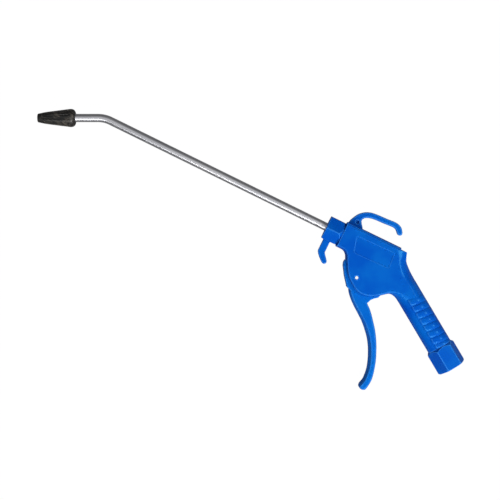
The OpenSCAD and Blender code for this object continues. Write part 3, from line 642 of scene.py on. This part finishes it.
def hex_rings(root, heading, start, end, flats, turn, start_chamfer, end_chamfer, softness, slope=0.8):
    """Rings of a hexagon bar whose corners are turned off at both ends."""
    corner = flats / 2 / cos(pi / 6)

    def shape(angle, distance, _):
        at_start = max(start_chamfer - (distance - start), 0)
        at_end = max(end_chamfer - (end - distance), 0)
        turned = corner * TURNED_SHARE - slope * (at_start + at_end)
        return min(hexagon_radius(angle - turn, flats, softness), turned)

    places = [start + start_chamfer * k / CHAMFER_STEPS for k in range(CHAMFER_STEPS + 1)]
    flat_start = places[-1]
    middle = end - end_chamfer - flat_start
    places += [flat_start + middle * k / FLAT_STEPS for k in range(1, FLAT_STEPS)]
    places += [end - end_chamfer * k / CHAMFER_STEPS for k in range(CHAMFER_STEPS, -1, -1)]
    return along(root, heading, [(place, 0) for place in places], FINE_SIDES, shape)


def tube_like(name, outer_loops, inner_loops):
    """A hollow piece: its outer rings forwards, then its inner rings backwards."""
    return stacked(name, outer_loops + list(reversed(inner_loops)), closed_round=True)


def build_inlet_nut():
    root = (GRIP_ROOT_X, 0)
    outer = hex_rings(root, -GRIP_RAKE, NUT_START - NUT_LAP, NUT_END, NUT_FLATS, turn=radians(23.4),
                      start_chamfer=2.4, end_chamfer=1.2, softness=0.93, slope=0.95)
    inner = along(root, -GRIP_RAKE, [
        (NUT_START - NUT_LAP, NUT_BORE_R), (NUT_END - NUT_MOUTH_DEPTH, NUT_BORE_R), (NUT_END, NUT_MOUTH_R),
    ], FINE_SIDES)
    nut = tube_like("inlet_nut_moulding", outer, inner)
    moulded(nut, FINE_VOXEL, passes=1)
    return nut


FRONT_HOOK_SHARES = [
    (0.1, 0.14), (0.1, -0.439), (0.112, -0.639), (0.244, -0.844), (0.444, -1.049), (0.544, -1.068),
    (0.608, -0.995), (0.6, -0.893), (0.524, -0.776), (0.392, -0.571), (0.384, -0.439), (0.38, 0.14),
]
FRONT_HOOK_SPAN = 25
FRONT_HOOK_LENGTH = 20.5
FRONT_HOOK_ROOT_Y = -11.5
FRONT_HOOK_HALF = 2.2
FRONT_HOOK_ROUNDING = 1.1


def build_front_cap():
    outer = hex_rings((0, 0), 0, CAP_FRONT_X, CAP_BACK_X, CAP_FLATS, turn=radians(4), start_chamfer=0.9,
                      end_chamfer=3.4, softness=0.95, slope=0.6)
    core = along((0, 0), 0, [
        (CAP_FRONT_X, CAP_HOLE_R), (CAP_WALL_X, CAP_HOLE_R), (CAP_WALL_X, CAP_BORE_R), (CAP_BACK_X, CAP_BORE_R),
    ], FINE_SIDES)
    cap = tube_like("front_cap_moulding", outer, core)
    outline = smooth([
        (CAP_FRONT_X + x * FRONT_HOOK_SPAN, FRONT_HOOK_ROOT_Y + y * FRONT_HOOK_LENGTH)
        for x, y in reversed(FRONT_HOOK_SHARES)
    ], 4)
    hook = rounded_plate("small_hook", even_rows(outline, FRONT_HOOK_ROUNDING), FRONT_HOOK_HALF)
    combine(cap, [hook], "UNION")
    combine(cap, [rod("cap_bore", (0, 0), 0, CAP_WALL_X, OVERRUN, 2 * CAP_BORE_R, FINE_SIDES)], "DIFFERENCE")
    moulded(cap, FINE_VOXEL, passes=2)
    return cap


# Lever

FRONT_EDGE_SHARES = [
    (-0.0368, -0.0965), (-0.0043, -0.1594), (0.048, -0.2166), (0.1102, -0.2692), (0.1785, -0.3187),
    (0.2504, -0.3731), (0.315, -0.4351), (0.3714, -0.4991), (0.418, -0.5681), (0.4562, -0.6415),
    (0.4875, -0.7163), (0.5105, -0.7948), (0.5195, -0.8794), (0.5165, -0.909), (0.5084, -0.9382),
    (0.5047, -0.9613), (0.511, -0.979), (0.5236, -0.9916),
]
BACK_EDGE_SHARES = [
    (0.17, -0.12), (0.2, -0.15), (0.223, -0.19), (0.257, -0.2173), (0.3027, -0.2632), (0.3507, -0.3211),
    (0.4028, -0.3856), (0.4485, -0.4541), (0.4891, -0.5254), (0.5235, -0.5986), (0.5545, -0.6731),
    (0.5789, -0.7524), (0.5965, -0.8308), (0.601, -0.894), (0.589, -0.9738), (0.5749, -0.9916),
    (0.557, -0.999), (0.5403, -0.999),
]
HEAD_SHARES = [
    (-0.183, 0.1165), (-0.155, 0.124), (-0.12, 0.1), (-0.06, 0.08), (0.03, 0.075), (0.09, 0.03),
    (0.13, -0.012),
]
HEAD_BACK_SHARES = [
    (0.304, -0.05), (0.293, -0.084), (0.257, -0.114), (0.231, -0.143), (0.222, -0.176), (0.15, -0.172),
    (0.035, -0.15), (-0.043, -0.124), (-0.0647, -0.0958), (-0.1129, -0.0363), (-0.1454, 0.0142),
    (-0.1719, 0.0541), (-0.1832, 0.0852),
]
WEB_WIDTH = 12.4
FINGER_WIDTH = 15.0
ARM_INSET = 0.3
WIDENING_ROWS = 6
# Depth of the arm from which its edges have their full size
FULL_EDGE_DEPTH = 7
PAD_DROP = 1.8
PAD_REACH = 4.5
PAD_END_SHARE = 0.308
LEVER_END_SHARES = [1, 0.93, 0.8, 0.55]

# Edge of the lever, from its front: distance inwards and drop below the flat side, in mm
LEVER_FRONT_EDGE = [(0, 5.6), (0.1, 4.9), (0.35, 4.2), (0.9, 3.1), (1.5, 1.9), (2.1, 0.8), (2.5, 0.3), (3.3, 0)]
LEVER_BACK_EDGE = [(1.5, 0), (1.2, 0.06), (0.75, 0.25), (0.35, 0.6), (0.08, 1.1), (0, 1.6)]


def lever_arm(steps=6):
    front = smooth([lever_xy(*s) for s in FRONT_EDGE_SHARES], steps)
    back = smooth([lever_xy(*s) for s in BACK_EDGE_SHARES], steps)
    rows_to_end = (len(LEVER_END_SHARES) - 1) * steps
    ends = smooth([(share,) for share in LEVER_END_SHARES], steps)
    loops = []
    for i, (f, b) in enumerate(zip(front, back)):
        widening = ease(ramp(i, 0, WIDENING_ROWS * steps))
        half = (WEB_WIDTH - ARM_INSET + (FINGER_WIDTH - WEB_WIDTH + ARM_INSET) * widening) / 2
        left = len(front) - 1 - i
        half *= ends[rows_to_end - left][0] if left < rows_to_end else 1
        depth = hypot(b[0] - f[0], b[1] - f[1])
        scale = min(depth / FULL_EDGE_DEPTH, 1)
        section = [(inward * scale / depth, drop * scale) for inward, drop in LEVER_FRONT_EDGE]
        section += [(1 - inward * scale / depth, drop * scale) for inward, drop in LEVER_BACK_EDGE]
        loop = []
        for side, order in ((1, section), (-1, section[::-1])):
            loop += [
                (f[0] + (b[0] - f[0]) * share, f[1] + (b[1] - f[1]) * share, side * (half - drop))
                for share, drop in order
            ]
        loops.append(loop)
    return stacked("lever_arm", loops)


def build_lever():
    pad_y = PIVOT[1] - PAD_DROP
    outline = [lever_xy(*s) for s in HEAD_SHARES]
    outline += [(VALVE_X - PAD_REACH, pad_y), (lever_xy(PAD_END_SHARE, 0)[0], pad_y)]
    outline += [lever_xy(*s) for s in HEAD_BACK_SHARES]
    lever = lever_arm()
    combine(lever, [flat_bar("lever_head", outline, WEB_WIDTH / 2)], "UNION")
    moulded(lever, MOULD_VOXEL, passes=3)
    lever.name = "lever_moulding"
    return lever


# Blow tube and its rubber tip

STRAIGHT_STEPS = 60
BEND_STEPS = 32
NOSE_STEPS = 20
TUBE_SIDES = 96
CREASE_DEGREES = 40


def build_blow_tube():
    """Drawn tube with one bend, swept along its middle line in fine steps."""
    tangent = BEND_RADIUS * tan(BEND_ANGLE / 2)
    start, end = TUBE_SEAT_X, BARE_NOSE + TUBE_IN_TIP
    straight = TUBE_REACH - tangent
    middle = [(start - (start + straight) * k / STRAIGHT_STEPS, 0, pi) for k in range(STRAIGHT_STEPS + 1)]
    for k in range(1, BEND_STEPS + 1):
        turn = BEND_ANGLE * k / BEND_STEPS
        middle.append((-straight - BEND_RADIUS * sin(turn), BEND_RADIUS * (cos(turn) - 1), pi + turn))
    x, y, heading = middle[-1]
    for k in range(1, NOSE_STEPS + 1):
        middle.append((
            x + cos(heading) * (end - tangent) * k / NOSE_STEPS, y + sin(heading) * (end - tangent) * k / NOSE_STEPS,
            heading,
        ))

    def rings(radius):
        return [along((x, y), heading, [(0, radius)], TUBE_SIDES)[0] for x, y, heading in middle]

    tube = stacked("blow_tube", rings(TUBE_D / 2) + rings(TUBE_D / 2 - TUBE_WALL)[::-1], closed_round=True)
    shade_smooth(tube, CREASE_DEGREES)
    return tube


TIP_PROFILE_SHARES = [
    (0, 0.66), (0.018, 0.81), (0.045, 0.915), (0.07, 0.97), (0.11, 1), (0.17, 0.985), (0.42, 0.853), (0.74, 0.68),
    (0.9, 0.555), (0.968, 0.489),
]
GROOVE_COUNT = 12
GROOVE_DEPTH = 0.7
GROOVE_HALF_WIDTH = 0.2
GROOVE_START_FADE = (0.12, 0.2)
GROOVE_END_FADE = (0.86, 0.94)
# Points nearer to the axis or to the nose than this aren't grooved
PLAIN_RADIUS = 5
PLAIN_NOSE_SHARE = 0.97
TIP_SHORTENING = 0.23
TIP_SOCKET_DEPTH = 17.05
TIP_SOCKET_R = TUBE_D / 2 + 0.02
TIP_SIDES = 240
NOSE_ARC_STEPS = 8


def build_rubber_tip():
    root = (-TUBE_REACH, 0)
    heading = pi + BEND_ANGLE
    curve = smooth([(BARE_NOSE + s * TIP_LENGTH, r * TIP_REAR_R) for s, r in TIP_PROFILE_SHARES], 8)
    nose_r = curve[-1][1]
    end = BARE_NOSE + TIP_LENGTH - TIP_SHORTENING
    rim = end - curve[-1][0]
    turns = [k * pi / (2 * NOSE_ARC_STEPS) for k in range(1, NOSE_ARC_STEPS + 1)]
    nose = [(curve[-1][0] + rim * sin(turn), nose_r - rim * (1 - cos(turn))) for turn in turns]
    outer = [(BARE_NOSE, 4.6), (BARE_NOSE, 5.2), (BARE_NOSE, curve[0][1] - 0.2)] + curve[1:] + nose
    outer += [(end, (nose[-1][1] + 2.3) / 2), (end, 2.3)]
    socket_end = BARE_NOSE + TIP_SOCKET_DEPTH
    bore = [(end - 0.4, TIP_HOLE_R), (socket_end, TIP_HOLE_R)]
    bore += [(socket_end, TIP_SOCKET_R), (BARE_NOSE + 0.6, TIP_SOCKET_R)]

    def fluted(angle, distance, radius):
        share = (distance - BARE_NOSE) / TIP_LENGTH
        if radius < PLAIN_RADIUS or share > PLAIN_NOSE_SHARE:
            return radius
        depth = GROOVE_DEPTH * ease(ramp(share, *GROOVE_START_FADE)) * (1 - ease(ramp(share, *GROOVE_END_FADE)))
        phase = angle * GROOVE_COUNT / (2 * pi) % 1 - 0.5
        return radius - depth * max(1 - (phase / GROOVE_HALF_WIDTH) ** 2, 0)

    loops = along(root, heading, outer + bore, TIP_SIDES, fluted)
    tip = stacked("tip_moulding", loops, closed_round=True)
    shade_smooth(tip, CREASE_DEGREES)
    return tip


# Materials


class Value:
    """A shader socket that takes part in Python arithmetic."""

    def __init__(self, paint, socket):
        self.paint = paint
        self.socket = socket

    def _math(self, operation, *values):
        return self.paint.node("Math", {"operation": operation}, values)

    def __add__(self, other):
        return self._math("ADD", self, other)

    __radd__ = __add__

    def __sub__(self, other):
        return self._math("SUBTRACT", self, other)

    def __rsub__(self, other):
        return self._math("SUBTRACT", other, self)

    def __mul__(self, other):
        return self._math("MULTIPLY", self, other)

    __rmul__ = __mul__


class Paint:
    """A node material under construction."""

    def __init__(self, name):
        self.material = bpy.data.materials.new(name)
        self.material.use_nodes = True
        self.tree = self.material.node_tree
        self.tree.nodes.clear()
        self.output = self.tree.nodes.new("ShaderNodeOutputMaterial")

    def node(self, kind, settings=None, values=(), out=0):
        made = self.tree.nodes.new("ShaderNode" + kind)
        for name, setting in (settings or {}).items():
            setattr(made, name, setting)
        pairs = values.items() if isinstance(values, dict) else enumerate(values)
        for key, value in pairs:
            self.set(made.inputs[key], value)
        return Value(self, made.outputs[out])

    def set(self, socket, value):
        if isinstance(value, Value):
            self.tree.links.new(value.socket, socket)
        elif value is not None:
            socket.default_value = value

    def place(self, scale=(1, 1, 1), turn=(0, 0, 0)):
        where = self.node("TexCoord", out="Object")
        return self.node("Mapping", {}, {"Vector": where, "Scale": scale, "Rotation": turn})

    def noise(self, where, scale, detail=3, roughness=0.5, distortion=0.0):
        return self.node("TexNoise", {}, {
            "Vector": where, "Scale": scale, "Detail": detail, "Roughness": roughness, "Distortion": distortion,
        })

    def span(self, value, low, high, to_low=0.0, to_high=1.0):
        return self.node("MapRange", {"interpolation_type": "SMOOTHSTEP"}, [value, low, high, to_low, to_high])

    def blend(self, factor, first, second):
        return self.node("Mix", {"data_type": "RGBA"}, {0: factor, 6: first, 7: second}, out=2)

    def bump(self, height, distance, strength=1.0):
        return self.node("Bump", {}, {"Height": height, "Distance": distance, "Strength": strength})

    def surface(self, sockets):
        shader = self.node("BsdfPrincipled", {}, sockets)
        self.tree.links.new(shader.socket, self.output.inputs["Surface"])
        return self.material


def rgb(red, green, blue):
    """An sRGB colour, given in 0 to 255, as Blender's linear colour."""
    def linear(value):
        share = value / 255
        return share / 12.92 if share <= 0.04045 else ((share + 0.055) / 1.055) ** 2.4
    return (linear(red), linear(green), linear(blue), 1)


def blue_nylon(name, base, deep, gloss):
    """Moulded nylon: a slow clouding of the colour, a painted highlight on its ridges, painted shade in its grooves and
    a shallow flow texture.
    """
    paint = Paint(name)
    where = paint.place()
    clouds = paint.noise(where, scale=38, detail=3)
    grain = paint.noise(where, scale=1900, detail=2, roughness=0.6)
    flow = paint.noise(paint.place((1, 4, 1)), scale=60, detail=4, roughness=0.6, distortion=0.4)
    edge = paint.node("Attribute", {"attribute_name": EDGE_MARK}, out="Fac")
    # Painted highlight: convex edges and ridges get a lighter blue that stands in for light caught on them; the same
    # mask also roughens them a little.
    painted_edge_highlight = paint.span(edge, 0.012, 0.065)
    # Painted shade: concave grooves and creases get a darker blue where shade falls in them.
    painted_groove_shade = paint.span(edge, -0.02, -0.1)
    colour = paint.blend(paint.span(clouds, 0.35, 0.7), base, deep)
    colour = paint.blend(painted_edge_highlight * 0.5, colour, rgb(66, 152, 238))
    colour = paint.blend(painted_groove_shade * 0.45, colour, rgb(1, 52, 150))
    sides = paint.node("SeparateXYZ", {}, [paint.node("TexCoord", out="Normal")], out="Z")
    walls = 1 - paint.span(sides * sides, 0.04, 0.3)
    roughness = gloss + 0.05 * flow + 0.04 * grain + 0.05 * painted_edge_highlight + 0.4 * walls
    return paint.surface({
        "Base Color": colour, "Roughness": roughness, "Specular IOR Level": 0.24,
        "Specular Tint": (0.12, 0.75, 1, 1), "Normal": paint.bump(flow, distance=0.00004, strength=0.15),
    })


def drawn_zinc(name):
    """Zinc plate on drawn tube: faint long draw lines, a soft bloom and small dull spots."""
    paint = Paint(name)
    lines = paint.noise(paint.place((0.01, 1, 1)), scale=1500, detail=2, roughness=0.6)
    bloom = paint.noise(paint.place((0.2, 1, 1)), scale=60, detail=4, roughness=0.6)
    spots = paint.span(paint.noise(paint.place(), scale=420, detail=3, roughness=0.6), 0.66, 0.74)
    colour = paint.blend(paint.span(bloom, 0.35, 0.7), rgb(222, 222, 226), rgb(204, 205, 211))
    colour = paint.blend(spots * 0.25, colour, rgb(150, 148, 146))
    return paint.surface({
        "Base Color": colour, "Metallic": 1.0, "Roughness": 0.3 + 0.06 * bloom + 0.03 * lines + 0.08 * spots,
    })


def bright_steel(name, metallic, dullness):
    """Bright steel with fine rings, lighter and darker by turns."""
    paint = Paint(name)
    rings = paint.noise(paint.place((1, 1, 0.05)), scale=1800, detail=2, roughness=0.6)
    return paint.surface({
        "Base Color": paint.blend(rings, rgb(250, 251, 253), rgb(232, 234, 238)), "Metallic": metallic,
        "Roughness": dullness + 0.1 * rings, "Normal": paint.bump(rings, distance=0.00001, strength=0.3),
    })


def turned_brass(name):
    """Turned brass: fine tool marks under a slow brown tarnish."""
    paint = Paint(name)
    rings = paint.noise(paint.place(), scale=1400, detail=3, roughness=0.6)
    tarnish = paint.noise(paint.place(), scale=130, detail=4, roughness=0.6)
    return paint.surface({
        "Base Color": paint.blend(paint.span(tarnish, 0.4, 0.7), rgb(214, 178, 104), rgb(172, 134, 70)),
        "Metallic": 1.0, "Roughness": 0.25 + 0.2 * tarnish, "Normal": paint.bump(rings, distance=0.00001, strength=0.3),
    })


def black_rubber(name):
    """Nitrile rubber: matte black with a faint brown bloom and scuffs."""
    paint = Paint(name)
    bloom = paint.noise(paint.place(), scale=160, detail=5, roughness=0.65)
    scuffs = paint.noise(paint.place((0.25, 1, 1), (0, 0, -BEND_ANGLE)), scale=700, detail=4, roughness=0.7)
    dusty = paint.span(bloom * 0.5 + scuffs * 0.5, 0.47, 0.66)
    colour = paint.blend(dusty, rgb(20, 20, 20), rgb(96, 89, 80))
    return paint.surface({
        "Base Color": colour, "Roughness": 0.34 + 0.2 * bloom, "Specular IOR Level": 0.5,
        "Normal": paint.bump(scuffs, distance=0.00003, strength=0.2),
    })


def paper_floor():
    """A plain white floor that shows white to the camera where it is lit, and keeps the shadow."""
    paint = Paint("paper")
    fibres = paint.noise(paint.place(), scale=900, detail=3, roughness=0.6)
    shader = paint.node("BsdfPrincipled", {}, {
        "Base Color": paint.blend(fibres, (0.4, 0.4, 0.4, 1), (0.43, 0.43, 0.43, 1)), "Roughness": 0.9,
        "Specular IOR Level": 0.1,
    })
    by_eye = paint.node("LightPath", out="Is Camera Ray")
    by_mirror = paint.node("LightPath", out="Is Glossy Ray") + paint.node("LightPath", out="Is Transmission Ray")
    glow = paint.node("Emission", {}, {
        "Color": paint.blend(by_eye, (0.16, 0.16, 0.16, 1), (1, 1, 1, 1)), "Strength": 1.035,
    })
    seen = by_eye * 0.96 + by_mirror * 0.8
    mixed = paint.node("MixShader", {}, [seen, shader, glow])
    paint.tree.links.new(mixed.socket, paint.output.inputs["Surface"])
    return paint.material


def finish_with(material, *names):
    for name in names:
        piece = bpy.data.objects[name]
        for held in piece.material_slots:
            held.material = material
        if not piece.material_slots:
            piece.data.materials.append(material)


# The dressed gun

housing = build_housing()
housing.name = "housing_moulding"
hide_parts("body_housing")
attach(housing, "gun_body")

inlet_nut = build_inlet_nut()
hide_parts("inlet_nut")
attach(inlet_nut, "gun_body")

front_cap = build_front_cap()
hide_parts("front_cap")
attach(front_cap, "gun_body")

lever = build_lever()
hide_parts("trigger_lever")
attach(lever, "trigger")

tip = build_rubber_tip()
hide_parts("rubber_tip")
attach(tip, "gun_body")

tube = build_blow_tube()
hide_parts("nozzle_tube")
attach(tube, "gun_body")

# A copy of the CAD spring stands in for it; the share of its length left at the valve's full stroke is worked out below
# but not applied, so the copy keeps its length
spring_node = bpy.data.objects["valve_spring"]
spring = bpy.data.objects.new("valve_spring_coil", spring_node.data.copy())
bpy.context.scene.collection.objects.link(spring)
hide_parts("valve_spring")
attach(spring, "gun_body")
spring_low, spring_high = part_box("valve_spring")
valve_joint = next(j for j in frame["record"]["behaviour"]["joints"] if j["name"] == "valve_stroke")
1 - valve_joint["range_m"][1] / (spring_high[1] - spring_low[1])
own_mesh(spring)

for moulding in (housing, inlet_nut, front_cap, lever):
    mark_edges(moulding)
body_blue = blue_nylon("blue_nylon", rgb(0, 80, 190), rgb(4, 97, 198), 0.21)
lever_blue = blue_nylon("lever_nylon", rgb(4, 103, 204), rgb(2, 92, 198), 0.21)
finish_with(body_blue, housing.name, inlet_nut.name, front_cap.name)
finish_with(lever_blue, lever.name)
finish_with(black_rubber("nitrile"), tip.name, "tube_oring", "bush_upper_oring", "bush_lower_oring", "stem_oring",
            "poppet_seal", "stem_button", "inlet_gasket")
finish_with(drawn_zinc("zinc_tube"), tube.name)
finish_with(bright_steel("pin_steel", 0.25, 0.35), "pivot_pin")
finish_with(bright_steel("spring_steel", 1.0, 0.22), "bush_retaining_ring", spring.name)
finish_with(turned_brass("brass"), "tube_ferrule", "valve_bush", "valve_stem", "inlet_insert")


# Floor, light and camera

# The image: millimetres to a pixel, pixels to a side, and the place in the gun's frame that is at its middle
PIXEL = 0.976
IMAGE_SIDE = 500
CENTRE = (-73.43, -53.06)
# The tube's bent nose lies level in the image
BARREL_TILT = BEND_ANGLE
CAMERA_DISTANCE = 1.2
SENSOR_WIDTH = 36
NEAREST_SEEN = 0.01
FLOOR_SIDE = 8
FLOOR_CELLS = 4
LAMP_DISTANCE = 2.2
SKY_AT_HORIZON = 0.03
SKY_OVERHEAD = 0.2
SKY_AT_ZENITH = 0.7
# Bands of the sky: lowest and highest height (1 is straight up), and the light added at each
SKY_BANDS = ((0, 0.6, SKY_AT_HORIZON, SKY_OVERHEAD), (0.78, 1, 0, SKY_AT_ZENITH - SKY_OVERHEAD))


def lay_floor():
    low = CAD_BOX[0][2]
    bpy.ops.mesh.primitive_grid_add(
        x_subdivisions=FLOOR_CELLS, y_subdivisions=FLOOR_CELLS, size=FLOOR_SIDE, location=(0, 0, low)
    )
    floor = bpy.context.object
    floor.name = "floor"
    floor.data.materials.append(paper_floor())


def hang_lamp(name, bearing, from_zenith, size, power):
    """A round soft lamp aimed at the gun; its bearing is counted in the image, from its right edge upwards."""
    target = Vector(at_scale((*CENTRE, 0)))
    turn = radians(bearing) + BARREL_TILT
    lean = radians(from_zenith)
    light = bpy.data.lights.new(name, "AREA")
    light.shape = "DISK"
    light.size = size
    light.energy = power
    lamp = bpy.data.objects.new(name, light)
    lamp.location = target + LAMP_DISTANCE * Vector((sin(lean) * cos(turn), sin(lean) * sin(turn), cos(lean)))
    lamp.rotation_euler = (target - lamp.location).to_track_quat("-Z", "Y").to_euler()
    bpy.context.scene.collection.objects.link(lamp)


def set_camera():
    centre = at_scale((*CENTRE, 0))
    lens = bpy.data.cameras.new("camera")
    lens.sensor_width = SENSOR_WIDTH
    lens.angle = 2 * atan2(PIXEL * MM * IMAGE_SIDE / 2, CAMERA_DISTANCE)
    lens.clip_start = NEAREST_SEEN
    camera = bpy.data.objects.new("camera", lens)
    camera.location = (centre[0], centre[1], CAMERA_DISTANCE)
    camera.rotation_euler = (0, 0, BARREL_TILT)
    bpy.context.scene.collection.objects.link(camera)
    bpy.context.scene.camera = camera


def light_sky():
    """A plain pale sky that is darkest at the horizon and brightest straight up."""
    world = bpy.data.worlds.new("studio")
    bpy.context.scene.world = world
    world.use_nodes = True
    nodes, links = world.node_tree.nodes, world.node_tree.links
    direction = nodes.new("ShaderNodeTexCoord")
    height = nodes.new("ShaderNodeSeparateXYZ")
    links.new(direction.outputs["Generated"], height.inputs[0])
    bands = []
    for limits in SKY_BANDS:
        band = nodes.new("ShaderNodeMapRange")
        links.new(height.outputs["Z"], band.inputs["Value"])
        for socket, value in zip(("From Min", "From Max", "To Min", "To Max"), limits):
            band.inputs[socket].default_value = value
        bands.append(band)
    strength = nodes.new("ShaderNodeMath")
    for socket, band in zip(strength.inputs, bands):
        links.new(band.outputs[0], socket)
    links.new(strength.outputs[0], nodes["Background"].inputs["Strength"])
    nodes["Background"].inputs["Color"].default_value = (1, 1, 1, 1)


lay_floor()
hang_lamp("key", bearing=-70, from_zenith=46, size=1.1, power=34)
hang_lamp("strip", bearing=248, from_zenith=49, size=0.8, power=8)
hang_lamp("spark", bearing=5, from_zenith=38, size=0.45, power=12)
set_camera()
light_sky()
bpy.context.scene.view_settings.view_transform = "Standard"
